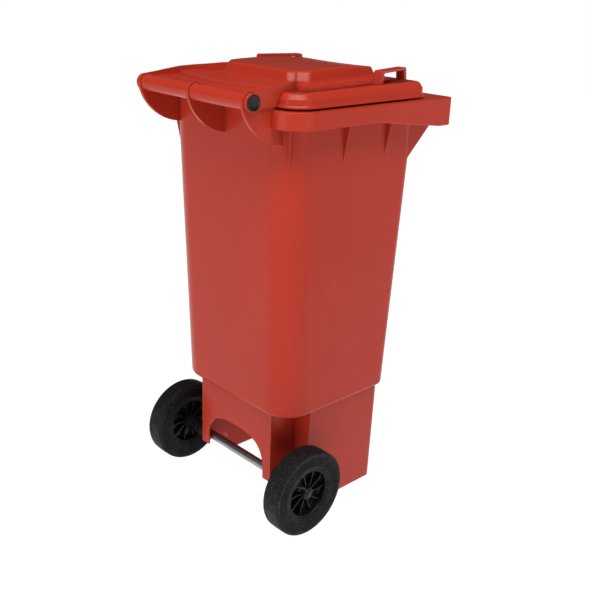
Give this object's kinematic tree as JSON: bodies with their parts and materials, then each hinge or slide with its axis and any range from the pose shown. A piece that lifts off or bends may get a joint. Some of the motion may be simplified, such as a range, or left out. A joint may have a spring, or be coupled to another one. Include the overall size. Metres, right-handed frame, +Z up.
{
  "type": "wheeled waste bin",
  "caption": "Upright plastic waste bin with a hinged lid, bridge grips, a tubular hinge bar, a comb-lift rim and rear wheels on a steel axle.",
  "frame": {"origin": "on the floor, under the middle of the bin's bounding box", "axes": "+Z up, -Y towards the front rim, +Y towards the hinge bar and the wheels, +X to the right seen from the front"},
  "size_m": [0.478, 0.5454, 1.002],
  "materials": {
    "red_plastic": "satin red, fine moulding grain",
    "black_plastic": "satin black",
    "tyre_rubber": "matte, grainy tread",
    "steel": "dull zinc"
  },
  "bodies": {
    "bin": {"tub": "red_plastic", "axle": "steel", "axle_washer_left": "steel", "axle_washer_right": "steel"},
    "lid": {"lid": "red_plastic", "hinge_pin_left": "black_plastic", "hinge_pin_right": "black_plastic"},
    "wheel_left": {"wheel_hub_left": "black_plastic", "tyre_left": "tyre_rubber"},
    "wheel_right": {"wheel_hub_right": "black_plastic", "tyre_right": "tyre_rubber"}
  },
  "joints": [
    {"name": "lid_hinge", "type": "hinge", "parent": "bin", "child": "lid", "pos_m": [0, 0.25325, 0.958], "axis": [-1, 0, 0], "range_deg": [0, 195]},
    {"name": "wheel_left_spin", "type": "hinge", "parent": "bin", "child": "wheel_left", "pos_m": [-0.216, 0.12275, 0.1], "axis": [1, 0, 0], "continuous": true},
    {"name": "wheel_right_spin", "type": "hinge", "parent": "bin", "child": "wheel_right", "pos_m": [0.216, 0.12275, 0.1], "axis": [1, 0, 0], "continuous": true}
  ]
}
